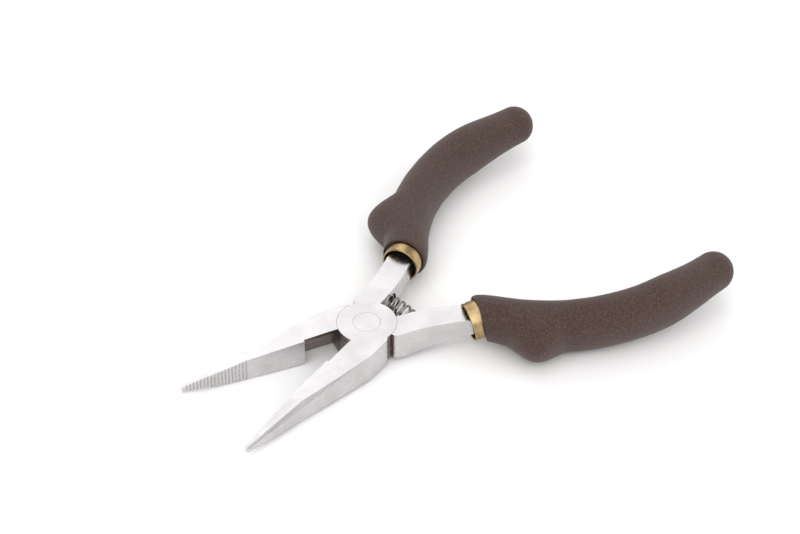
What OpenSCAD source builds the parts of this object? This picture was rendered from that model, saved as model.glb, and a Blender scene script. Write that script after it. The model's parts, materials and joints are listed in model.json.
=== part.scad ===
// Mini needle nose pliers with a lap joint, a coil return spring and foam grips.
// Millimetres. The pivot is the Z axis, z = 0 is the underside of the joint, and the
// jaws point along +X. Each half is drawn closed, about its own mid-plane, with its jaw
// on the +Y side of the meeting plane and its handle on the -Y side. It is then turned
// to the relaxed, open pose in which the spring leaves the tool.

/* [Jaws] */
// Distance from the pivot to the jaw tips
jaw_reach = 42.6; // [38:0.5:52]
// Width across both jaws at the joint, closed
joint_w = 13.8; // [12:0.1:17]
// Thickness of the joint
joint_t = 6.7; // [5.6:0.1:8]
// Distance from the pivot at which the jaws begin to narrow
jaw_straight = 8.5; // [7.5:0.1:10]
// Distance from the pivot at which the jaw faces begin to slope to the tip
jaw_slope_start = 27; // [22:0.5:32]
// Thickness of the jaws where that slope begins
jaw_mid_t = 5.8; // [4.8:0.1:6.6]
// Width of both tips together
tip_w = 1.8; // [1.4:0.1:2.4]
// Thickness of the tips
tip_t = 1.6; // [1.2:0.1:2.2]
// Radius of the cone that rounds the outside of the nose, at the tips
tip_round_r = 1; // [0.9:0.05:1.4]
// Gap left between the closed jaw faces
jaw_gap = 0.1; // [0.04:0.02:0.2]

/* [Gripping face and cutter] */
// Distance from the pivot to the first groove of the gripping face
serration_start = 27.6; // [24:0.2:32]
// Spacing of the grooves
serration_pitch = 0.8; // [0.6:0.05:1.2]
// Width of one groove
serration_w = 0.6; // [0.3:0.05:0.6]
// Depth of one groove
serration_depth = 0.25; // [0.1:0.05:0.3]
// Distance from the pivot to the front end of the throat
throat_end = 14.5; // [12:0.5:18]
// Depth of the throat behind each gripping face
throat_depth = 0.5; // [0.3:0.1:1]
// Height of the straight edge of each cutter blade
blade_land = 0.8; // [0.5:0.1:1.5]
// How far each blade is cut back on the underside
blade_undercut = 3; // [1.5:0.1:3.6]

/* [Joint] */
// How far the round leaves stay inside the sides of the joint
leaf_inset = 0.4; // [0.3:0.05:1]
// Clearance between a leaf and the shoulder around it
leaf_clear = 0.06; // [0.04:0.02:0.3]
// Gap between the two leaves
lap_gap = 0.05; // [0.02:0.01:0.1]
// Radius of the rivet's shank
rivet_r = 2.2; // [1.8:0.1:2.8]
// Flare of the rivet's flush peened ends beyond its shank
rivet_flare = 0.8; // [0.3:0.1:1]
// Radial running clearance around the rivet
rivet_fit = 0.03; // [0.01:0.01:0.08]
// Angle from the meeting plane to the back face of each jaw root
root_angle = 79; // [70:1:82]
// Rounding of the jaw root and of the handle shoulder
shoulder_round = 1.2; // [0.4:0.1:1.4]
// Angle of each half from the closed pose when the spring is relaxed
half_open = 15; // [10:0.5:17]
// Further opening of the joint before the shoulders meet
extra_open = 10.5; // [4:0.5:14]

/* [Handles] */
// Gap between the handles next to the joint, closed
handle_gap = 2.2; // [1.6:0.1:3]
// How far the handles stay inside the sides of the joint, where they leave it
shank_inset = 0.2; // [0.1:0.1:0.3]
// Width of each handle at its collar
shank_end_w = 5.4; // [4.6:0.1:5.7]
// Thickness of each handle at its collar
shank_end_t = 4.6; // [4.2:0.1:5.5]
// Angle of the bevels that lead each handle into its round collar
bevel_angle = 9; // [8.5:0.5:10]
// Distance behind the pivot of the grip's front rim
rim_x = 23.7; // [21:0.1:28]
// Distance of that rim's centre from the meeting plane
rim_y = 6.8; // [6.2:0.1:8]
// Angle at which the handle enters the grip
rim_angle = 11; // [4:1:24]
// Width of the tang inside the grip, at its front
tang_w = 4; // [3.4:0.1:4.4]
// Width of the tang at its rear end
tang_end_w = 2.6; // [2:0.1:3.2]
// Thickness of the tang
tang_t = 4; // [3.4:0.1:4.2]
// Length of the tang's straight start behind the collar
tang_pull = 9; // [7:0.5:11]

/* [Return spring] */
// Distance from the pivot to the spring's pockets
spring_x = 10.8; // [9.6:0.1:12]
// Radius of the pockets
pocket_r = 2.3; // [1.9:0.1:2.5]
// Depth of the pockets
pocket_depth = 2; // [1.6:0.1:2.4]
// Clearance of the coil in its pockets
coil_clear = 0.25; // [0.15:0.05:0.6]
// Diameter of the wire
wire_d = 0.55; // [0.4:0.05:0.6]
// Turns of the coil
coil_turns = 7; // [5:0.5:8]

/* [Collars] */
// Outer half width of the oval collar
collar_half_w = 4.2; // [4.2:0.1:5]
// Outer half height of the collar
collar_half_h = 4.4; // [4.4:0.1:5.6]
// Wall of each collar
collar_wall = 0.4; // [0.3:0.05:0.4]
// Length of each collar in front of the grip
collar_show = 2.7; // [1.5:0.1:3]
// Length of each collar inside the grip
collar_sunk = 2; // [1.5:0.5:2]
// Thickness of the web that bears on the handle's shoulder
collar_web = 1; // [0.6:0.1:1.5]
// How far the lower collar and the mouth of its grip lean towards the other handle
lower_lean = 8; // [0:1:8]
// How far they tip, with the side nearer the jaws upwards
lower_tip = 10; // [0:1:10]

/* [Grips] */
// Thickness of the foam around the collar
rim_wall = 0.8; // [0.6:0.1:1.6]
// Rounding of the edge of the front rim
rim_round = 0.4; // [0.2:0.1:0.4]
// Half width of the grip along its middle, seen from above
grip_half_w = 5.15; // [4.8:0.1:6.4]
// Half height of the grip along its middle
grip_half_h = 6.3; // [5:0.1:6.6]
// Radius of the grip's rounded end
grip_end_r = 4.6; // [4:0.1:5.4]
// How far the thumb guard stands out on the outer side
guard_h = 4.2; // [0:0.1:5]
// Distance of the thumb guard's peak behind the rim
guard_x = 10.5; // [7:0.5:13]
// Half length of the thumb guard
guard_reach = 6; // [4:0.5:6]
// Length of the handle's straight start behind the rim
rim_pull = 3; // [2:0.5:8]
// Distance behind the pivot of the grip's widest spread
bow_x = 55.5; // [50:1:64]
// Distance of the grip's centreline from the meeting plane there
bow_y = 18.4; // [16:0.2:21]
// How gently the grip sweeps up to that spread
bow_pull = 19.8; // [12:0.2:22]
// Distance behind the pivot of the centre of the grip's rounded end
end_x = 78; // [72:0.5:92]
// Distance of that centre from the meeting plane
end_y = 13.7; // [11:0.2:16]

/* [Hidden] */
$fn = 96;
// Slack for cuts that run past a face
past = 1;
// Fit of a piece that is pressed or glued on
snug = 0.05;
steel = [0.82, 0.82, 0.84];
spring_steel = [0.35, 0.34, 0.34];
brass = [0.68, 0.55, 0.3];
foam = [0.31, 0.26, 0.25];

// Angle left between a shoulder and the jaw root that stops against it
stop_slack = 0.5;
// Angle from the meeting plane to the face of the handle's shoulder
shoulder_angle = 180 - root_angle - 2 * half_open - extra_open - stop_slack;
leaf_r = joint_w / 2 - leaf_inset;
shank_w = (joint_w - handle_gap) / 2 - shank_inset;
shoulder_y = handle_gap / 2 + shank_w;
shank_mid_y = handle_gap / 2 + shank_w / 2;
rivet_head_r = rivet_r + rivet_flare;
coil_r = pocket_r - coil_clear - wire_d / 2;
rim_half_w = collar_half_w + rim_wall;
// Rise of the handle's end and its collar, so that the top of the handle stays level
rim_rise = (joint_t - shank_end_t) / 2;
rim_half_h = collar_half_h + rim_wall;
root_corner_r = norm([joint_w / 2, joint_t / 2]);

// Points of a circle about c, from angle a to angle b in n steps
function arc(c, r, a, b, n) =
    [for (i = [0:n]) c + r * [cos(a + (b - a) * i / n), sin(a + (b - a) * i / n)]];

// Centre of the arc that rounds the corner between a radial line at angle a and the line y = h
function corner_centre(a, h, r) = [(r + (h - r) * cos(a)) / sin(a), h - r];

// The rounded corner, from the line y = h round to the radial line
corner_steps = 8;
function corner(a, h, r) = arc(corner_centre(a, h, r), r, 90, 90 + a, corner_steps);

// Cubic Bezier curve and its unit tangent
function bezier(p, t) = pow(1 - t, 3) * p[0] + 3 * pow(1 - t, 2) * t * p[1]
    + 3 * (1 - t) * t * t * p[2] + pow(t, 3) * p[3];
function bezier_slope(p, t) = 3 * pow(1 - t, 2) * (p[1] - p[0])
    + 6 * (1 - t) * t * (p[2] - p[1]) + 3 * t * t * (p[3] - p[2]);
function unit(v) = v / norm(v);
function side_of(v) = [-v[1], v[0]];

// Centreline of a handle, with x behind the pivot and y away from the meeting plane
shank_start_x = leaf_r;
rim_point = [rim_x, rim_y];
rim_dir = [cos(rim_angle), sin(rim_angle)];
bow_point = [bow_x, bow_y];
end_point = [end_x, end_y];
shank_pull = 7.5;
shank_end_pull = 4;
shank_curve = [[shank_start_x, shank_mid_y], [shank_start_x + shank_pull, shank_mid_y],
               rim_point - shank_end_pull * rim_dir, rim_point];
grip_front = [rim_point, rim_point + rim_pull * rim_dir, bow_point - [bow_pull, 0], bow_point];
tang_front = [rim_point, rim_point + tang_pull * rim_dir, bow_point - [bow_pull, 0], bow_point];
rear_pull = (end_x - bow_x) / 3;
rear_lift = 0.51;
rear_curve = [bow_point, bow_point + [rear_pull, 0],
              end_point + [-rear_pull, rear_lift * (bow_y - end_y)], end_point];

// Stations along the handle, t from 0 to 1 on the shank, 1 to 2 on the named front curve of
// the grip or the tang, and 2 to 3 behind the widest spread
function handle_piece(front, t) = t <= 1 ? shank_curve : t <= 2 ? front : rear_curve;
function handle_t(t) = t <= 1 ? t : t <= 2 ? t - 1 : t - 2;
function handle_point(front, t) = bezier(handle_piece(front, t), handle_t(t));
function handle_dir(front, t) = unit(bezier_slope(handle_piece(front, t), handle_t(t)));
function handle_edge(front, t, d) = handle_point(front, t) + d * side_of(handle_dir(front, t));
tang_end_t = 2.5;
tang_end_room = 0.03;
shank_steps = 16;
tang_steps = 20;
function shank_half_w(t) = (shank_w + (shank_end_w - shank_w) * t) / 2;
function tang_half_w(t) = (tang_w + (tang_end_w - tang_w) * (t - 1) / (tang_end_t - 1)) / 2;
function shank_edge(side) =
    [for (i = [0:shank_steps])
        handle_edge(tang_front, i / shank_steps, side * shank_half_w(i / shank_steps))];
function tang_edge(side, extra, from) =
    [for (i = [0:tang_steps])
        let (t = from + (tang_end_t - from) * i / tang_steps)
        handle_edge(tang_front, t, side * (tang_half_w(t) + extra))];
function flip(list) = [for (i = [len(list) - 1:-1:0]) list[i]];

// Puts its children at the grip's front rim, with +X running back along the handle. Here and
// below, up is 1 in the upper half's own frame and -1 in the lower half's, which lies upside down.
module at_rim(up) {
    rotate([0, 0, 180]) translate([rim_x, rim_y, up * rim_rise]) rotate([0, 0, rim_angle])
        children();
}

// Turns a closed half into its place as the upper or the lower one
module as_upper() {
    translate([0, 0, joint_t / 2]) rotate([0, 0, half_open]) children();
}

module as_lower() {
    translate([0, 0, joint_t / 2]) rotate([0, 0, -half_open]) rotate([180, 0, 0]) children();
}

module jaw_plan() {
    polygon(concat(
        [[0, jaw_gap / 2], [jaw_reach, jaw_gap / 2], [jaw_reach, tip_w / 2],
         [jaw_straight, joint_w / 2]],
        corner(root_angle, joint_w / 2, shoulder_round)));
}

module handle_plan() {
    polygon(concat(
        [[0, 0], [0, handle_gap / 2]],
        shank_edge(-1), tang_edge(-1, 0, 1),
        flip(tang_edge(1, 0, 1)), flip(shank_edge(1)),
        corner(shoulder_angle, shoulder_y, shoulder_round)));
}

// Side view of a half, thin at the tip and at the collar
function side_edge(side, up) =
    let (shank_z = up * rim_rise + side * shank_end_t / 2)
    [[jaw_reach, side * tip_t / 2], [jaw_slope_start, side * jaw_mid_t / 2],
     [jaw_straight, side * joint_t / 2], [-shank_start_x, side * joint_t / 2],
     [-rim_x + shank_end_w / 2, shank_z], [-end_x, shank_z]];

module side_plan(up) {
    polygon(concat(side_edge(1, up), flip(side_edge(-1, up))));
}

// Cone that rounds the outside of the nose, with room for everything behind it
module nose_round() {
    translate([jaw_straight, 0, 0]) rotate([0, 90, 0])
        cylinder(h = jaw_reach - jaw_straight, r1 = root_corner_r, r2 = tip_round_r);
    translate([jaw_straight - 2 * end_x, -end_x, -joint_t]) cube([2 * end_x, 2 * end_x, 2 * joint_t]);
}

// Room for the leaf of the other half, below the mid-plane
module lap_cut() {
    translate([0, 0, -joint_t]) cylinder(h = joint_t + lap_gap / 2, r = leaf_r + leaf_clear);
}

module rivet_bore() {
    bore = rivet_r + rivet_fit;
    cylinder(h = joint_t + 2 * past, r = bore, center = true);
    for (side = [0, 180]) rotate([side, 0, 0])
        translate([0, 0, joint_t / 2 - rivet_flare])
            cylinder(h = rivet_flare, r1 = bore, r2 = bore + rivet_flare);
}

module spring_pocket() {
    mouth_y = -handle_gap / 2;
    translate([-spring_x, mouth_y + past, 0]) rotate([90, 0, 0])
        cylinder(h = pocket_depth + past, r = pocket_r);
}

// Grooves across the gripping face
module serrations() {
    count = floor((jaw_reach - serration_start - serration_pitch) / serration_pitch);
    for (i = [0:count]) translate([serration_start + i * serration_pitch, jaw_gap / 2, 0])
        linear_extrude(2 * joint_t, center = true)
            polygon([[0, -past], [serration_w, -past], [serration_w, 0],
                     [serration_w / 2, serration_depth], [0, 0]]);
}

// Throat behind the gripping face. Its blade is cut back towards the underside.
module throat(up) {
    start = leaf_r + leaf_clear;
    reach = throat_end - start;
    face = jaw_gap / 2;
    translate([start, -past, -joint_t]) cube([reach, past + face + throat_depth, 2 * joint_t]);
    translate([start, face, 0]) rotate([90, 0, 90]) linear_extrude(reach)
        polygon([[-past, up * (joint_t / 2 - blade_land)],
                 [throat_depth, up * (joint_t / 2 - blade_land)],
                 [throat_depth + blade_undercut, -up * joint_t / 2],
                 [throat_depth + blade_undercut, -up * joint_t],
                 [-past, -up * joint_t]]);
}

// Slabs above and below the tang, behind the shoulder that stops the collar
module tang_cut(up) {
    at_rim(up) for (side = [0, 180]) rotate([side, 0, 0])
        translate([0, -end_x, tang_t / 2]) cube([2 * end_x, 2 * end_x, joint_t]);
}

// Bevels on the four edges of the shank, from nothing down to the corners of the tang
module shank_bevels(up) {
    plane = (tang_w + tang_t) / sqrt(8) + snug;
    at_rim(up) for (corner = [45:90:315]) rotate([corner, 0, 0])
        translate([0, 0, plane]) rotate([0, bevel_angle, 0])
            translate([-rim_x + joint_w / 2, -joint_w / 2, 0])
                cube([rim_x - joint_w / 2, joint_w, joint_t]);
}

module half(up) {
    difference() {
        intersection() {
            union() {
                linear_extrude(joint_t, center = true) jaw_plan();
                rotate([0, 0, 180]) linear_extrude(joint_t, center = true) handle_plan();
                translate([0, 0, lap_gap / 2])
                    cylinder(h = (joint_t - lap_gap) / 2, r = leaf_r);
            }
            translate([0, end_x, 0]) rotate([90, 0, 0]) linear_extrude(2 * end_x) side_plan(up);
            nose_round();
        }
        lap_cut();
        rivet_bore();
        spring_pocket();
        serrations();
        throat(up);
        tang_cut(up);
        shank_bevels(up);
    }
}

// Turns its children with a mouth that leans and tips, about the centre of the rim
module leaned(lean, tip) {
    rotate([0, tip, -lean]) children();
}

// Oval prism that runs back from the rim
module oval(half_w, half_h, length) {
    rotate([0, 90, 0]) scale([half_h, half_w, 1]) cylinder(h = length, r = 1);
}

module collar(up, lean, tip) {
    at_rim(up) {
        leaned(lean, tip) difference() {
            translate([-collar_show, 0, 0])
                oval(collar_half_w, collar_half_h, collar_show + collar_sunk);
            translate([-collar_show - past, 0, 0])
                oval(collar_half_w - collar_wall, collar_half_h - collar_wall,
                     collar_show + collar_sunk + 2 * past);
        }
        difference() {
            oval(collar_half_w - collar_wall / 2, collar_half_h - collar_wall / 2, collar_web);
            translate([-past, -tang_w / 2 - 2 * snug, -tang_t / 2 - snug])
                cube([collar_web + 2 * past, tang_w + 4 * snug, tang_t + 2 * snug]);
        }
    }
}

// Grip sections. A section is an ellipse whose outer half also carries the thumb guard.
function ease(v) = let (c = max(0, min(1, v))) c * c * (3 - 2 * c);
function lerp(a, b, v) = a + (b - a) * v;
function behind_rim(t) = handle_point(grip_front, t)[0] - rim_x;
neck_reach = 12;
taper_reach = 16;
taper_start = end_x - rim_x - taper_reach;
function grip_size(d, front, middle) = lerp(lerp(front, middle, ease(d / neck_reach)), grip_end_r,
                                            ease((d - taper_start) / taper_reach));
function grip_w(d) = grip_size(d, rim_half_w, grip_half_w);
function grip_h(d) = grip_size(d, rim_half_h, grip_half_h);
guard_shape = 1.6;
function guard(d) = abs(d - guard_x) > guard_reach ? 0
    : guard_h * pow(cos(90 * (d - guard_x) / guard_reach), guard_shape);

ring_sides = 28;
body_rings = 34;
cap_rings = 6;
// slant holds how far a ring runs back per mm outwards and per mm upwards. lift is the height
// of its middle.
function ring(p, dir, inner_r, outer_r, h, slant, lift) =
    [for (i = [0:ring_sides - 1])
        let (a = 360 * i / ring_sides)
        let (side = (cos(a) > 0 ? outer_r : inner_r) * cos(a))
        let (rise = h * sin(a))
        let (q = p + side * side_of(dir) + (slant[0] * side + slant[1] * rise) * dir)
        [q[0], q[1], rise + lift]];
function body_ring(t, shrink, slant, up) =
    let (d = behind_rim(t))
    let (front_share = 1 - ease(d / neck_reach))
    ring(handle_point(grip_front, t), handle_dir(grip_front, t), grip_w(d) - shrink,
         grip_w(d) + guard(d) - shrink, grip_h(d) - shrink,
         slant * front_share, up * rim_rise * front_share);
rim_steps = 3;
rim_back = rim_round / (3 * rim_pull);
function rim_rings(slant, up) =
    [for (i = [0:rim_steps])
        let (a = 90 * i / rim_steps)
        body_ring(1 + rim_back * (1 - cos(a)), rim_round * (1 - sin(a)), slant, up)];
cap_dir = handle_dir(grip_front, 3);
function cap_ring(a) =
    ring(end_point + grip_end_r * sin(a) * cap_dir, cap_dir,
         grip_end_r * cos(a), grip_end_r * cos(a), grip_end_r * cos(a), [0, 0], 0);
function grip_rings(slant, up) = concat(
    rim_rings(slant, up),
    [for (i = [2:body_rings]) body_ring(1 + 2 * i / body_rings, 0, slant, up)],
    [for (i = [1:cap_rings]) cap_ring(90 * i / (cap_rings + 1))]);

// Skin over a row of rings, closed by a flat face at each end
module skin(rings) {
    sides = len(rings[0]);
    last = len(rings) - 1;
    walls = [for (r = [0:last - 1]) for (i = [0:sides - 1])
        let (a = r * sides + i)
        let (b = r * sides + (i + 1) % sides)
        each [[a, b + sides, b], [a, a + sides, b + sides]]];
    front = [[for (i = [0:sides - 1]) i]];
    back = [[for (i = [sides - 1:-1:0]) last * sides + i]];
    polyhedron([for (r = rings) each r], concat(walls, front, back));
}

// Cavity for the tang, and for the part of the collar inside the grip
module grip_cavity(up, lean, tip) {
    translate([0, 0, up * rim_rise]) rotate([0, 0, 180])
        linear_extrude(tang_t + 2 * snug, center = true)
        polygon(concat([[rim_x - past, rim_y - tang_w / 2 - snug]],
                       tang_edge(-1, snug, 1), [handle_point(tang_front, tang_end_t + tang_end_room)],
                       flip(tang_edge(1, snug, 1)),
                       [[rim_x - past, rim_y + tang_w / 2 + snug]]));
    at_rim(up) leaned(lean, tip) translate([-2 * past, 0, 0])
        oval(collar_half_w + snug, collar_half_h + snug, 2 * past + collar_sunk + snug);
}

module grip(up, lean, tip) {
    difference() {
        rotate([0, 0, 180]) skin(grip_rings([tan(lean), tan(tip) / cos(lean)], up));
        grip_cavity(up, lean, tip);
    }
}

// Coil between the floors of the two pockets, bent with the opening of the handles
floor_y = handle_gap / 2 + pocket_depth;
floor_point = [-spring_x * cos(half_open) + floor_y * sin(half_open),
               -spring_x * sin(half_open) - floor_y * cos(half_open)];
bend_r = -floor_point[1] / sin(half_open);
bend_centre_x = floor_point[0] + bend_r * cos(half_open);
wire_sides = 8;
coil_steps = 16;
tangent_step = 0.001;
wire_rings = coil_turns * coil_steps;
end_angle = half_open - (wire_d / 2 + 2 * snug) / bend_r * 180 / PI;
function coil_point(t, r) =
    let (bend = end_angle * (2 * t - 1))
    let (turn = 360 * coil_turns * t)
    let (reach = bend_r + r * cos(turn))
    [bend_centre_x - reach * cos(bend), reach * sin(bend), r * sin(turn)];
function wire_ring(t) =
    let (centre = coil_point(t, coil_r))
    let (out = unit(coil_point(t, coil_r + 1) - centre))
    let (along = unit(coil_point(t + tangent_step, coil_r) - centre))
    let (across = cross(along, out))
    [for (i = [0:wire_sides - 1])
        let (a = 360 * i / wire_sides)
        centre + wire_d / 2 * (cos(a) * out + sin(a) * across)];

module upper_half() {
    color(steel) as_upper() half(1);
}

module lower_half() {
    color(steel) as_lower() half(-1);
}

module pivot_rivet() {
    color(steel) rotate_extrude()
        polygon([[0, 0], [rivet_head_r, 0], [rivet_r, rivet_flare],
                 [rivet_r, joint_t - rivet_flare], [rivet_head_r, joint_t], [0, joint_t]]);
}

module return_spring() {
    color(spring_steel) translate([0, 0, joint_t / 2])
        skin([for (i = [0:wire_rings]) wire_ring(i / wire_rings)]);
}

module upper_collar() {
    color(brass) as_upper() collar(1, 0, 0);
}

module lower_collar() {
    color(brass) as_lower() collar(-1, lower_lean, lower_tip);
}

module upper_grip() {
    color(foam) as_upper() grip(1, 0, 0);
}

module lower_grip() {
    color(foam) as_lower() grip(-1, lower_lean, lower_tip);
}

upper_half();
lower_half();
pivot_rivet();
return_spring();
upper_collar();
lower_collar();
upper_grip();
lower_grip();
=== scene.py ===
"""Looks of the mini needle nose pliers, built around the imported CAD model.

Sizes are in millimetres and are turned to metres by MM, apart from those named as metres.
A handle's curve is written with x behind the pivot and y away from the meeting plane, as in
the CAD.
"""

import json
import math

import bmesh
import bpy
import numpy as np
from mathutils import Matrix, Vector, noise

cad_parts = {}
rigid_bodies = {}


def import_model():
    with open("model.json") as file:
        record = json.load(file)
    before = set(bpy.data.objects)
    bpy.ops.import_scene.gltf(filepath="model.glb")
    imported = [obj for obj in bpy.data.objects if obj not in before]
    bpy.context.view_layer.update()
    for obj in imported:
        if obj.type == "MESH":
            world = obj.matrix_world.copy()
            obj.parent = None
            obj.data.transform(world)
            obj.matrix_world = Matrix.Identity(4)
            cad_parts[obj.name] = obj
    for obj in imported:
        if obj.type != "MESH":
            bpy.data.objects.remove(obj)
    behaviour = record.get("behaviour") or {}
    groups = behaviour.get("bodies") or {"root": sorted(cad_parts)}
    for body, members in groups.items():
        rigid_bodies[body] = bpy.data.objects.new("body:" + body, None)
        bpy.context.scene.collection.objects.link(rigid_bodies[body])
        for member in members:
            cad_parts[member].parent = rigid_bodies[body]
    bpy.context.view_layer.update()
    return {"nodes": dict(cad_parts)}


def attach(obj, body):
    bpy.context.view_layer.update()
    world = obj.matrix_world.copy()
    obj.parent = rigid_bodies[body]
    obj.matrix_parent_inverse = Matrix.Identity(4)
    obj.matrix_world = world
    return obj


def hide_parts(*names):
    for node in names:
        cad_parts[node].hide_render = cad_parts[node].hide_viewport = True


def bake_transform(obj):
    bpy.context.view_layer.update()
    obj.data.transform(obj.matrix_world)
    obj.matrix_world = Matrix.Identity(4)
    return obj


MM = 0.001

# Joint
JOINT_T = 6.7
HALF_OPEN = math.radians(15)
HANDLE_GAP = 2.2
SERRATION_START = 27.0
GRIPPING_DEPTH = 0.45
LEAF_R = 6.5
THROAT_END = 14.5
THROAT_BACK = 4.2
LEAF_MARGIN = 0.25
THROAT_START_MARGIN = 0.2
THROAT_END_MARGIN = 0.1
UPRIGHT = 0.9

# Rounded edges of the steel pieces
FORGING_BEVEL = 0.16
RIVET_BEVEL = 0.05
BEVEL_TURN = math.radians(24)
FORGING_SHARP = math.radians(35)
FLAT_TURN = math.radians(0.4)
WELD = 0.002
NORMAL_WEIGHT = 80

# Handle curve inside the grip
RIM = np.array([23.7, 6.8])
RIM_ANGLE = math.radians(11)
SHANK_END_T = 4.6
RIM_RISE = (JOINT_T - SHANK_END_T) / 2
RIM_PULL = 3.0
BOW = np.array([55.5, 18.4])
BOW_PULL = 19.8
END = np.array([78.0, 13.7])
REAR_LIFT = 0.51

# Collar
COLLAR_HALF_W = 4.2
COLLAR_HALF_H = 4.4
COLLAR_WALL = 0.4
COLLAR_SHOW = 2.7
COLLAR_SUNK = 2.0
COLLAR_LIP = 0.2
LIP_DEPTH = 0.3
COLLAR_HOLE = 2.86
COLLAR_WEB = 0.6
COLLAR_FILLET = 0.05
COLLAR_SHARP = math.radians(40)
COLLAR_WELD = 0.001
BAND_START = 0.7
BAND_END = 0.9
BAND_FADE = 1.2
BAND_DEPTH = 0.06
BORE_START = 0.6
LOWER_LEAN = math.radians(8)
LOWER_TIP = math.radians(10)

# Grip
RIM_WALL = 0.8
RIM_ROUND = 0.4
GRIP_HALF_W = 5.15
GRIP_HALF_H = 6.3
GRIP_END_R = 4.6
GUARD_H = 4.2
GUARD_X = 10.5
GUARD_REACH = 6.0
GUARD_SHAPE = 1.6
NECK_REACH = 12.0
TAPER_REACH = 16.0
MOUTH_GAP = 0.07
MOUTH_LIP = 0.2
WAVE_SCALE = 260
WAVE_DEPTH = 0.10
GRAIN_SCALE = 1400
GRAIN_DEPTH = 0.05

# Spring
SPRING_X = 10.8
POCKET_DEPTH = 2.0
COIL_R = 1.775
WIRE_R = 0.275
COIL_TURNS = 7
SEAT_GAP = 0.1

# Numbers that faces carry, in the order of each piece's materials
OUTSIDE = 0
# Faces whose material colour is painted shade: the throat and leaf edges, and the collars' inside
PAINTED_SHADE = 1
ROUNDED = 2

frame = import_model()


# ---------------------------------------------------------------- shape helpers


def unit(v):
    return v / np.linalg.norm(v)


def side_of(v):
    return np.array([-v[1], v[0]])


def bezier(points, t):
    a, b, c, d = points
    return (1 - t) ** 3 * a + 3 * (1 - t) ** 2 * t * b + 3 * (1 - t) * t * t * c + t**3 * d


def bezier_slope(points, t):
    a, b, c, d = points
    return 3 * (1 - t) ** 2 * (b - a) + 6 * (1 - t) * t * (c - b) + 3 * t * t * (d - c)


def ease(v):
    v = min(1.0, max(0.0, v))
    return v * v * (3 - 2 * v)


def lerp(a, b, v):
    return a + (b - a) * v


def half_matrix(side):
    """Places the closed half's own frame. side is 1 for the upper half and -1 for the lower one."""
    turn = Matrix.Rotation(side * HALF_OPEN, 4, "Z")
    flip = Matrix.Identity(4) if side > 0 else Matrix.Rotation(math.pi, 4, "X")
    return Matrix.Translation((0, 0, JOINT_T / 2)) @ turn @ flip


def rim_matrix(side):
    """The grip's front rim, with +X running back along the handle."""
    back = Matrix.Rotation(math.pi, 4, "Z")
    place = Matrix.Translation((RIM[0], RIM[1], side * RIM_RISE)) @ Matrix.Rotation(RIM_ANGLE, 4, "Z")
    return half_matrix(side) @ back @ place


def add_object(name, data):
    obj = bpy.data.objects.new(name, data)
    bpy.context.scene.collection.objects.link(obj)
    return obj


def loft(name, rings, closed_ends=True):
    """Mesh over a row of rings of points in millimetres, each ring closed on itself."""
    sides = len(rings[0])
    verts = [Vector(p) * MM for ring in rings for p in ring]
    faces = []
    for r in range(len(rings) - 1):
        for i in range(sides):
            j = (i + 1) % sides
            a, b = r * sides, (r + 1) * sides
            faces.append((a + i, b + i, b + j, a + j))
    if closed_ends:
        faces.append(tuple(range(sides)))
        last = (len(rings) - 1) * sides
        faces.append(tuple(last + i for i in range(sides - 1, -1, -1)))
    mesh = bpy.data.meshes.new(name)
    mesh.from_pydata(verts, [], faces)
    mesh.update()
    bm = bmesh.new()
    bm.from_mesh(mesh)
    bmesh.ops.recalc_face_normals(bm, faces=bm.faces)
    bm.to_mesh(mesh)
    bm.free()
    mesh.polygons.foreach_set("use_smooth", [True] * len(mesh.polygons))
    return add_object(name, mesh)


def mark_sharp(obj, angle):
    """Splits the shading at edges that turn by more than the angle."""
    bm = bmesh.new()
    bm.from_mesh(obj.data)
    for edge in bm.edges:
        edge.smooth = len(edge.link_faces) == 2 and edge.calc_face_angle(0) < angle
    bm.to_mesh(obj.data)
    bm.free()


# ---------------------------------------------------------------- materials


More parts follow.
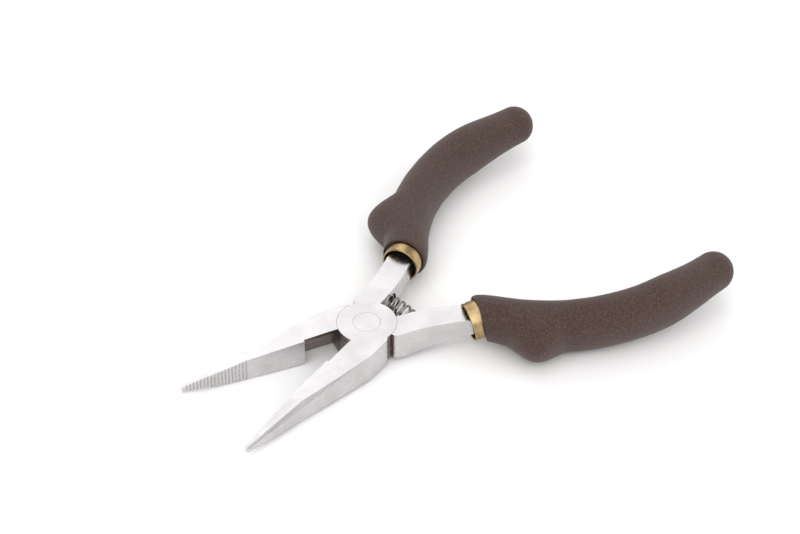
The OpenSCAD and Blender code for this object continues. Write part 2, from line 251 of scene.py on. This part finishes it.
class Paint:
    """A node material with a Principled shader, and short calls that add to it."""

    def __init__(self, name, metallic, specular=0.5):
        self.material = bpy.data.materials.new(name)
        self.material.use_nodes = True
        self.tree = self.material.node_tree
        self.shader = self.tree.nodes["Principled BSDF"]
        self.set("Metallic", metallic)
        self.set("Specular IOR Level", specular)
        self.coords = self.node("ShaderNodeTexCoord").outputs["Object"]
        self.height = None

    def node(self, kind):
        return self.tree.nodes.new(kind)

    def link(self, a, b):
        self.tree.links.new(a, b)

    def set(self, socket, value):
        self.shader.inputs[socket].default_value = value

    def scaled(self, x, y, z):
        mapping = self.node("ShaderNodeMapping")
        mapping.inputs["Scale"].default_value = (x, y, z)
        self.link(self.coords, mapping.inputs["Vector"])
        return mapping.outputs["Vector"]

    def noise(self, vector, scale, detail=3.0, roughness=0.5):
        tex = self.node("ShaderNodeTexNoise")
        tex.inputs["Scale"].default_value = scale
        tex.inputs["Detail"].default_value = detail
        tex.inputs["Roughness"].default_value = roughness
        self.link(vector, tex.inputs["Vector"])
        return tex.outputs["Fac"]

    def cells(self, vector, scale):
        tex = self.node("ShaderNodeTexVoronoi")
        tex.inputs["Scale"].default_value = scale
        self.link(vector, tex.inputs["Vector"])
        return tex.outputs["Distance"]

    def spread(self, value, low, high, to_low, to_high):
        span = self.node("ShaderNodeMapRange")
        span.inputs["From Min"].default_value = low
        span.inputs["From Max"].default_value = high
        span.inputs["To Min"].default_value = to_low
        span.inputs["To Max"].default_value = to_high
        self.link(value, span.inputs["Value"])
        return span.outputs["Result"]

    def blend(self, factor, a, b):
        mix = self.node("ShaderNodeMix")
        mix.data_type = "RGBA"
        self.link(factor, mix.inputs["Factor"])
        for socket, value in ((mix.inputs["A"], a), (mix.inputs["B"], b)):
            if isinstance(value, tuple):
                socket.default_value = (*value, 1)
            else:
                self.link(value, socket)
        return mix.outputs["Result"]

    def bump(self, value, strength, distance):
        bump = self.node("ShaderNodeBump")
        bump.inputs["Strength"].default_value = strength
        bump.inputs["Distance"].default_value = distance * MM
        self.link(value, bump.inputs["Height"])
        if self.height is not None:
            self.link(self.height, bump.inputs["Normal"])
        self.height = bump.outputs["Normal"]
        self.link(self.height, self.shader.inputs["Normal"])

    def colour(self, output):
        self.link(output, self.shader.inputs["Base Color"])

    def mottle(self, value, low, high):
        """Base colour from low to high over the middle of a noise."""
        self.colour(self.blend(self.spread(value, 0.35, 0.65, 0, 1), low, high))

    def roughness(self, value, smooth, rough):
        """Roughness from smooth to rough over the middle of a noise."""
        self.link(self.spread(value, 0.3, 0.7, smooth, rough), self.shader.inputs["Roughness"])


def steel_paint(name, low, high, smooth, rough):
    """Satin plating, ground along the tool. low and high are its darkest and lightest tones."""
    paint = Paint(name, metallic=1.0)
    ground = paint.scaled(350, 1600, 1600)
    grind = paint.noise(ground, scale=1.0, detail=2.0)
    cloud = paint.noise(paint.coords, scale=160)
    paint.mottle(cloud, low, high)
    paint.roughness(paint.noise(ground, scale=0.7), smooth, rough)
    paint.bump(grind, strength=0.06, distance=0.02)
    paint.bump(cloud, strength=0.05, distance=0.08)
    return paint.material


def throat_steel_and_shade_paint():
    """Ground, unplated steel of the leaves' edges and the throat, its colour darkened far below the
    steel's own tone as painted shade of these recesses.
    """
    paint = Paint("throat_steel_painted_shade", metallic=1.0)
    marks = paint.noise(paint.scaled(300, 300, 1800), scale=1.0)
    paint.mottle(marks, (0.13, 0.10, 0.09), (0.30, 0.25, 0.23))
    paint.roughness(marks, 0.28, 0.45)
    paint.bump(marks, strength=0.15, distance=0.03)
    return paint.material


def wire_paint():
    paint = Paint("spring_wire", metallic=1.0)
    drawn = paint.noise(paint.coords, scale=2500)
    paint.colour(paint.blend(drawn, (0.12, 0.10, 0.095), (0.48, 0.46, 0.44)))
    paint.roughness(drawn, 0.2, 0.34)
    return paint.material


def brass_paint():
    paint = Paint("gold_collar", metallic=1.0)
    cloud = paint.noise(paint.coords, scale=420, detail=4.0)
    paint.mottle(cloud, (0.33, 0.23, 0.11), (0.50, 0.37, 0.20))
    paint.roughness(cloud, 0.24, 0.4)
    paint.bump(paint.noise(paint.coords, scale=3000, detail=2.0), strength=0.1, distance=0.02)
    return paint.material


def foam_paint():
    """Matt foam: soft patches, lighter specks of grain, and dark pores."""
    paint = Paint("foam", metallic=0.0, specular=0.25)
    pores = paint.cells(paint.coords, scale=3000)
    grain = paint.noise(paint.coords, scale=2600, detail=4.0, roughness=0.65)
    patches = paint.noise(paint.coords, scale=110, detail=2.0)
    base = paint.blend(patches, (0.036, 0.0185, 0.015), (0.048, 0.025, 0.021))
    speckled = paint.blend(paint.spread(grain, 0.42, 0.62, 0, 1), base, (0.086, 0.051, 0.042))
    paint.colour(paint.blend(paint.spread(pores, 0.0, 0.2, 0.8, 0), speckled, (0.014, 0.007, 0.006)))
    paint.roughness(grain, 0.82, 0.98)
    paint.set("Sheen Weight", 0.15)
    paint.set("Sheen Roughness", 0.6)
    paint.bump(pores, strength=0.35, distance=0.08)
    paint.bump(grain, strength=0.5, distance=0.1)
    return paint.material


def floor_paint():
    paint = Paint("floor", metallic=0.0, specular=0.1)
    grain = paint.noise(paint.coords, scale=60)
    paint.colour(paint.blend(grain, (0.925, 0.92, 0.915), (0.94, 0.935, 0.93)))
    paint.set("Roughness", 0.9)
    return paint.material


def collar_shade_paint():
    """Near-black painted shade for the inside of the collars, where the hollow sleeve is in shadow."""
    paint = Paint("collar_inside_painted_shade", metallic=0.0, specular=0.2)
    patches = paint.noise(paint.coords, scale=900)
    paint.colour(paint.blend(patches, (0.018, 0.012, 0.009), (0.05, 0.033, 0.022)))
    paint.roughness(patches, 0.6, 0.85)
    return paint.material


STEEL = steel_paint("plated_steel", (0.55, 0.535, 0.535), (0.63, 0.615, 0.62), 0.22, 0.32)
EDGE = steel_paint("worn_edge", (0.64, 0.63, 0.63), (0.74, 0.73, 0.73), 0.16, 0.24)
THROAT_STEEL_SHADED = throat_steel_and_shade_paint()
WIRE = wire_paint()
BRASS = brass_paint()
COLLAR_SHADE = collar_shade_paint()
FOAM = foam_paint()


def dress(obj, materials):
    """Gives a piece its materials, in the order that its faces number them."""
    mesh = obj.data
    numbers = [face.material_index for face in mesh.polygons]
    mesh.materials.clear()
    for material in materials:
        mesh.materials.append(material)
    mesh.polygons.foreach_set("material_index", [min(n, len(materials) - 1) for n in numbers])


# ---------------------------------------------------------------- steel pieces


def on_gripping_face(point, side):
    """True for a corner of the grooves, given in metres in the open pose."""
    local = half_matrix(side).inverted() @ (point / MM)
    return local.x > SERRATION_START and abs(local.y) < GRIPPING_DEPTH


def inside_joint(centre, normal, side):
    """True for the leaf's edge and the throat's walls, given in metres in the open pose. These faces get
    the dark steel whose colour is painted shade.
    """
    if abs(normal.z) > UPRIGHT:
        return False
    local = half_matrix(side).inverted() @ (centre / MM)
    on_leaf = math.hypot(local.x, local.y) < LEAF_R + LEAF_MARGIN
    past_start = local.x > LEAF_R - THROAT_START_MARGIN
    before_end = local.x < THROAT_END + THROAT_END_MARGIN
    in_throat = past_start and before_end and abs(local.y) < THROAT_BACK
    return on_leaf or in_throat


def bevelled_copy(node, name, width, side=None):
    """A copy of a CAD node whose sharp edges are rounded, the grooves' own edges left crisp."""
    mesh = frame["nodes"][node].data.copy()
    mesh.name = name
    obj = add_object(name, mesh)
    bm = bmesh.new()
    bm.from_mesh(mesh)
    bmesh.ops.remove_doubles(bm, verts=bm.verts, dist=WELD * MM)
    bmesh.ops.dissolve_limit(
        bm, angle_limit=FLAT_TURN, verts=bm.verts, edges=bm.edges, delimit=set()
    )
    edges = []
    for edge in bm.edges:
        if len(edge.link_faces) != 2 or edge.calc_face_angle(0) < BEVEL_TURN:
            continue
        if side and all(on_gripping_face(v.co, side) for v in edge.verts):
            continue
        edges.append(edge)
    for face in bm.faces:
        face.material_index = OUTSIDE
    rounded = bmesh.ops.bevel(
        bm,
        geom=edges,
        offset=width * MM,
        offset_type="OFFSET",
        affect="EDGES",
        segments=2,
        profile=0.5,
        clamp_overlap=True,
        loop_slide=True,
        miter_outer="SHARP",
        miter_inner="SHARP",
    )
    for face in bm.faces:
        face.smooth = True
        # Leaf edges and throat walls take the dark steel whose colour is painted shade
        if side and inside_joint(face.calc_center_median(), face.normal, side):
            face.material_index = PAINTED_SHADE
    for face in rounded["faces"]:
        face.material_index = ROUNDED
    for edge in bm.edges:
        edge.smooth = len(edge.link_faces) == 2 and edge.calc_face_angle(0) < FORGING_SHARP
    bm.to_mesh(mesh)
    bm.free()
    weighted = obj.modifiers.new("face_normals", "WEIGHTED_NORMAL")
    weighted.keep_sharp = True
    weighted.weight = NORMAL_WEIGHT
    return obj


upper_half = bevelled_copy("upper_half", "upper_half_steel", FORGING_BEVEL, 1)
lower_half = bevelled_copy("lower_half", "lower_half_steel", FORGING_BEVEL, -1)
rivet = bevelled_copy("pivot_rivet", "rivet_steel", RIVET_BEVEL)
for piece, node, body in (
    (upper_half, "upper_half", "upper"),
    (lower_half, "lower_half", "lower"),
    (rivet, "pivot_rivet", "upper"),
):
    dress(piece, [STEEL, THROAT_STEEL_SHADED, EDGE])
    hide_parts(node)
    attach(piece, body)


# ---------------------------------------------------------------- collars


def arc_points(cx, cy, r, start, end, steps):
    turns = [lerp(start, end, i / steps) for i in range(steps + 1)]
    return [(cx + r * math.cos(a), cy + r * math.sin(a)) for a in turns]


def collar(name, side, lean, tip):
    """An oval sleeve with a rounded lip and, inside, the web that stops on the handle.

    The profile is of the sleeve's top, x from the rim and r from the axis. The sides are
    nearer to the axis by what the oval is narrower, except at the web's round hole.
    """
    outer = COLLAR_HALF_H
    inner = outer - COLLAR_WALL
    front = -COLLAR_SHOW
    lip = COLLAR_LIP
    profile = [(COLLAR_SUNK, outer), (0.0, outer), (front + BAND_FADE, outer)]
    profile += [(front + BAND_END, outer - BAND_DEPTH), (front + BAND_START, outer - BAND_DEPTH)]
    profile += arc_points(front + lip, outer - lip, lip, math.pi / 2, math.pi * 3 / 2, 8)
    profile += [(front + BORE_START, inner), (-COLLAR_FILLET, inner), (0.0, inner - COLLAR_FILLET)]
    profile += [(0.0, COLLAR_HOLE), (COLLAR_WEB, COLLAR_HOLE), (COLLAR_WEB, inner), (COLLAR_SUNK, inner)]
    sides = 96
    narrower = COLLAR_HALF_H - COLLAR_HALF_W
    place = rim_matrix(side) @ Matrix.Rotation(-lean, 4, "Z") @ Matrix.Rotation(tip, 4, "Y")
    rings = []
    for x, r in profile:
        half_w = r - (narrower if r > COLLAR_HOLE else 0.0)
        ring = []
        for i in range(sides):
            a = 2 * math.pi * i / sides
            ring.append(place @ Vector((x, half_w * math.cos(a), r * math.sin(a))))
        rings.append(ring)
    rings.append(rings[0])
    obj = loft(name, rings, closed_ends=False)
    bm = bmesh.new()
    bm.from_mesh(obj.data)
    bmesh.ops.remove_doubles(bm, verts=bm.verts, dist=COLLAR_WELD * MM)
    bmesh.ops.recalc_face_normals(bm, faces=bm.faces)
    # Faces inside the sleeve take the near-black painted shade
    to_rim = place.inverted()
    for face in bm.faces:
        x, y, z = to_rim @ (face.calc_center_median() / MM)
        size = math.hypot(y / (COLLAR_HALF_W - COLLAR_WALL / 2), z / (COLLAR_HALF_H - COLLAR_WALL / 2))
        face.material_index = PAINTED_SHADE if size < 1 and x > front + LIP_DEPTH else OUTSIDE
    bm.to_mesh(obj.data)
    bm.free()
    mark_sharp(obj, COLLAR_SHARP)
    return obj


# ---------------------------------------------------------------- grips

# The handle's curve is two Bezier stretches that meet level at the bow
rim_dir = np.array([math.cos(RIM_ANGLE), math.sin(RIM_ANGLE)])
rear_pull = np.array([(END[0] - BOW[0]) / 3, 0])
FRONT = [RIM, RIM + RIM_PULL * rim_dir, BOW - np.array([BOW_PULL, 0]), BOW]
REAR = [BOW, BOW + rear_pull, END + np.array([-rear_pull[0], REAR_LIFT * (BOW[1] - END[1])]), END]


def grip_point(t):
    """A point of the curve: t runs from 0 at the rim through 1 at the bow to 2 at the end."""
    return bezier(FRONT, t) if t <= 1 else bezier(REAR, t - 1)


def grip_dir(t):
    return unit(bezier_slope(FRONT, t) if t <= 1 else bezier_slope(REAR, t - 1))


def grip_size(d, rim, middle):
    """Half size at d behind the rim, from the rim through the middle to the rounded end."""
    taper_start = END[0] - RIM[0] - TAPER_REACH
    front = lerp(rim, middle, ease(d / NECK_REACH))
    return lerp(front, GRIP_END_R, ease((d - taper_start) / TAPER_REACH))


def guard(d):
    """Height of the finger guard's bump at d behind the rim."""
    reach = abs(d - GUARD_X) / GUARD_REACH
    return 0.0 if reach >= 1 else GUARD_H * math.cos(math.pi / 2 * reach) ** GUARD_SHAPE


def section(point, direction, inner_r, outer_r, half_h, slant, lift, sides):
    """An ellipse whose outer half carries the guard, run back by slant per millimetre."""
    ring = []
    for i in range(sides):
        a = 2 * math.pi * i / sides
        across = (outer_r if math.cos(a) > 0 else inner_r) * math.cos(a)
        rise = half_h * math.sin(a)
        back = slant[0] * across + slant[1] * rise
        q = point + across * side_of(direction) + back * direction
        ring.append((q[0], q[1], rise + lift))
    return ring


def grip(name, side, lean, tip):
    """Foam skin: the mouth's wall and lip, the rounded rim, the body, and the domed end."""
    sides, mouth_rings, rim_rings, body_rings, cap_rings = 96, 4, 6, 220, 14
    cap_opening = 0.6
    slant = np.array([math.tan(lean), math.tan(tip) / math.cos(lean)])
    rings = []

    def mouth(grow, back):
        w, h = COLLAR_HALF_W + grow, COLLAR_HALF_H + grow
        rings.append(section(RIM + back * rim_dir, rim_dir, w, w, h, slant, side * RIM_RISE, sides))

    def body(t, shrink):
        d = grip_point(t)[0] - RIM[0]
        front = 1 - ease(d / NECK_REACH)
        w = grip_size(d, COLLAR_HALF_W + RIM_WALL, GRIP_HALF_W) - shrink
        h = grip_size(d, COLLAR_HALF_H + RIM_WALL, GRIP_HALF_H) - shrink
        lift = side * RIM_RISE * front
        rings.append(section(grip_point(t), grip_dir(t), w, w + guard(d), h, slant * front, lift, sides))

    mouth(MOUTH_GAP, COLLAR_SUNK)
    mouth(MOUTH_GAP, MOUTH_LIP)
    for i in range(1, mouth_rings + 1):
        a = math.pi / 2 * i / mouth_rings
        mouth(MOUTH_GAP + MOUTH_LIP * (1 - math.cos(a)), MOUTH_LIP * (1 - math.sin(a)))
    for i in range(rim_rings + 1):
        a = math.pi / 2 * i / rim_rings
        body(RIM_ROUND * (1 - math.cos(a)) / (3 * RIM_PULL), RIM_ROUND * (1 - math.sin(a)))
    start = RIM_ROUND / (3 * RIM_PULL)
    for i in range(1, body_rings + 1):
        body(start + (2 - start) * i / body_rings, 0.0)
    for i in range(1, cap_rings + 1):
        a = math.pi / 2 * i / (cap_rings + cap_opening)
        r = GRIP_END_R * math.cos(a)
        middle = END + GRIP_END_R * math.sin(a) * grip_dir(2)
        rings.append(section(middle, grip_dir(2), r, r, r, (0, 0), 0.0, sides))
    place = half_matrix(side) @ Matrix.Rotation(math.pi, 4, "Z")
    obj = loft(name, [[place @ Vector(p) for p in ring] for ring in rings])
    soften(obj)
    return obj


def soften(obj):
    """Slight unevenness of a moulded foam skin, pushed inwards only."""
    mesh = obj.data
    normals = [v.normal.copy() for v in mesh.vertices]
    for v, n in zip(mesh.vertices, normals):
        waves = noise.noise(v.co * WAVE_SCALE) * 0.5 + 0.5
        grain = noise.noise(v.co * GRAIN_SCALE) * 0.5 + 0.5
        v.co -= n * MM * (WAVE_DEPTH * waves + GRAIN_DEPTH * grain)
    mesh.update()


for side, word, lean, tip in ((1, "upper", 0.0, 0.0), (-1, "lower", LOWER_LEAN, LOWER_TIP)):
    sleeve = collar(f"{word}_collar_sleeve", side, lean, tip)
    dress(sleeve, [BRASS, COLLAR_SHADE])
    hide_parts(f"{word}_collar")
    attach(sleeve, word)
    handle = grip(f"{word}_grip_foam", side, lean, tip)
    dress(handle, [FOAM])
    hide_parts(f"{word}_grip")
    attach(handle, word)


# ---------------------------------------------------------------- return spring


def spring():
    """A coil between the pocket floors, bent with the handles, its end turns closed up."""
    floor_y = HANDLE_GAP / 2 + POCKET_DEPTH
    floor_x = -SPRING_X * math.cos(HALF_OPEN) + floor_y * math.sin(HALF_OPEN)
    floor_out = SPRING_X * math.sin(HALF_OPEN) + floor_y * math.cos(HALF_OPEN)
    bend_r = floor_out / math.sin(HALF_OPEN)
    centre_x = floor_x + bend_r * math.cos(HALF_OPEN)
    end_angle = HALF_OPEN - (WIRE_R + SEAT_GAP) / bend_r
    turns, steps, sides = COIL_TURNS + 1, 36, 14
    nudge = 0.001
    closed = 2 * WIRE_R / (2 * end_angle * bend_r)

    def along(turn):
        """Share of the bend that the coil has run after so many turns."""
        if turn < 1:
            return closed * turn
        if turn > turns - 1:
            return 1 - closed * (turns - turn)
        return lerp(closed, 1 - closed, (turn - 1) / (turns - 2))

    def point(turn, r):
        bend = end_angle * (2 * along(turn) - 1)
        reach = bend_r + r * math.cos(2 * math.pi * turn)
        rise = r * math.sin(2 * math.pi * turn)
        return np.array([centre_x - reach * math.cos(bend), reach * math.sin(bend), rise + JOINT_T / 2])

    rings = []
    for k in range(turns * steps + 1):
        turn = k / steps
        centre = point(turn, COIL_R)
        out = unit(point(turn, COIL_R + 1) - centre)
        ahead = unit(point(turn + nudge, COIL_R) - point(turn - nudge, COIL_R))
        across = np.cross(ahead, out)
        ring = []
        for i in range(sides):
            a = 2 * math.pi * i / sides
            ring.append(tuple(centre + WIRE_R * (math.cos(a) * out + math.sin(a) * across)))
        rings.append(ring)
    return loft("return_spring_coil", rings)


coil = spring()
dress(coil, [WIRE])
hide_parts("return_spring")
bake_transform(coil)


# ---------------------------------------------------------------- floor, lights, camera

# Where the tool's weight acts, and half of the floor's width
WEIGHT_X = -10
FLOOR_HALF_METRES = 3.0

CAMERA_AZIMUTH = math.radians(140.5)
CAMERA_HEIGHT = math.radians(41.98)
CAMERA_DISTANCE = 560.2
CAMERA_LENS = 116.6
CAMERA_SENSOR = 36.0
CAMERA_NEAR_METRES = 0.01
CAMERA_FAR_METRES = 20.0
AIM_RIGHT = 7.16
AIM_UP = 14.31

PANEL_METRES = 0.9
PANEL_DISTANCE_METRES = 1.3
WORLD_STRENGTH = 0.56


def resting_plane():
    """Slope along X, and height at the pivot, of the plane that the tool lies on.

    It is the edge of the outline's lower hull, seen from the side, that is under the weight.
    """
    bpy.context.view_layer.update()
    points = []
    for obj in bpy.data.objects:
        if obj.type == "MESH" and not obj.hide_render:
            points += [(v.x, v.z) for v in (obj.matrix_world @ w.co for w in obj.data.vertices)]
    hull = []
    for p in sorted(set(points)):
        while len(hull) > 1:
            (ax, az), (bx, bz) = hull[-2], hull[-1]
            if (bx - ax) * (p[1] - az) - (bz - az) * (p[0] - ax) > 0:
                break
            hull.pop()
        hull.append(p)
    for (ax, az), (bx, bz) in zip(hull, hull[1:]):
        if ax <= WEIGHT_X * MM <= bx:
            slope = (bz - az) / (bx - ax)
            return slope, az - slope * ax
    raise RuntimeError("no resting plane found")


floor_slope, floor_height = resting_plane()
floor_points = []
for x, y in ((-1, -1), (1, -1), (1, 1), (-1, 1)):
    floor_x, floor_y = x * FLOOR_HALF_METRES, y * FLOOR_HALF_METRES
    floor_points.append((floor_x, floor_y, floor_height + floor_slope * floor_x))
floor_mesh = bpy.data.meshes.new("floor")
floor_mesh.from_pydata(floor_points, [], [(0, 1, 2, 3)])
floor = add_object("floor", floor_mesh)
floor.data.materials.append(floor_paint())

# front points from the object to the camera along the floor, and right is the camera's right
front = Vector((math.sin(CAMERA_AZIMUTH), -math.cos(CAMERA_AZIMUTH), 0))
right = Vector((math.cos(CAMERA_AZIMUTH), math.sin(CAMERA_AZIMUTH), 0))
scene = bpy.context.scene

camera_data = bpy.data.cameras.new("camera")
camera_data.sensor_width = CAMERA_SENSOR
camera_data.lens = CAMERA_LENS
camera_data.clip_start = CAMERA_NEAR_METRES
camera_data.clip_end = CAMERA_FAR_METRES
camera = add_object("camera", camera_data)
back = front * math.cos(CAMERA_HEIGHT) + Vector((0, 0, math.sin(CAMERA_HEIGHT)))
up = back.cross(right)
aim = Vector((0, 0, JOINT_T / 2)) + right * AIM_RIGHT + up * AIM_UP
turn = Matrix((right, up, back)).transposed().to_4x4()
camera.matrix_world = Matrix.Translation((aim + back * CAMERA_DISTANCE) * MM) @ turn
scene.camera = camera


def panel(name, around, height, power):
    """A soft box. around is 0 at the camera's right, 90 behind the object, 270 at the camera."""
    around = math.radians(around)
    height = math.radians(height)
    flat = right * math.cos(around) - front * math.sin(around)
    towards = flat * math.cos(height) + Vector((0, 0, math.sin(height)))
    data = bpy.data.lights.new(name, "AREA")
    data.shape = "SQUARE"
    data.size = PANEL_METRES
    data.energy = power
    light = add_object(name, data)
    light.location = towards * PANEL_DISTANCE_METRES
    light.rotation_euler = towards.to_track_quat("Z", "Y").to_euler()


panel("behind", 90, 42, 2.3)
panel("behind_left", 125, 40, 1.3)
panel("behind_low", 90, 14, 1.3)
panel("overhead", 90, 85, 2.8)
panel("front_left", 240, 48, 5.0)
panel("front_right", 300, 48, 4.4)
panel("front_low", 270, 18, 2.8)
panel("right_low", 0, 18, 2.6)

world = bpy.data.worlds.new("studio")
world.use_nodes = True
background = world.node_tree.nodes["Background"]
background.inputs["Color"].default_value = (1, 1, 1, 1)
background.inputs["Strength"].default_value = WORLD_STRENGTH
scene.world = world
scene.view_settings.view_transform = "Standard"
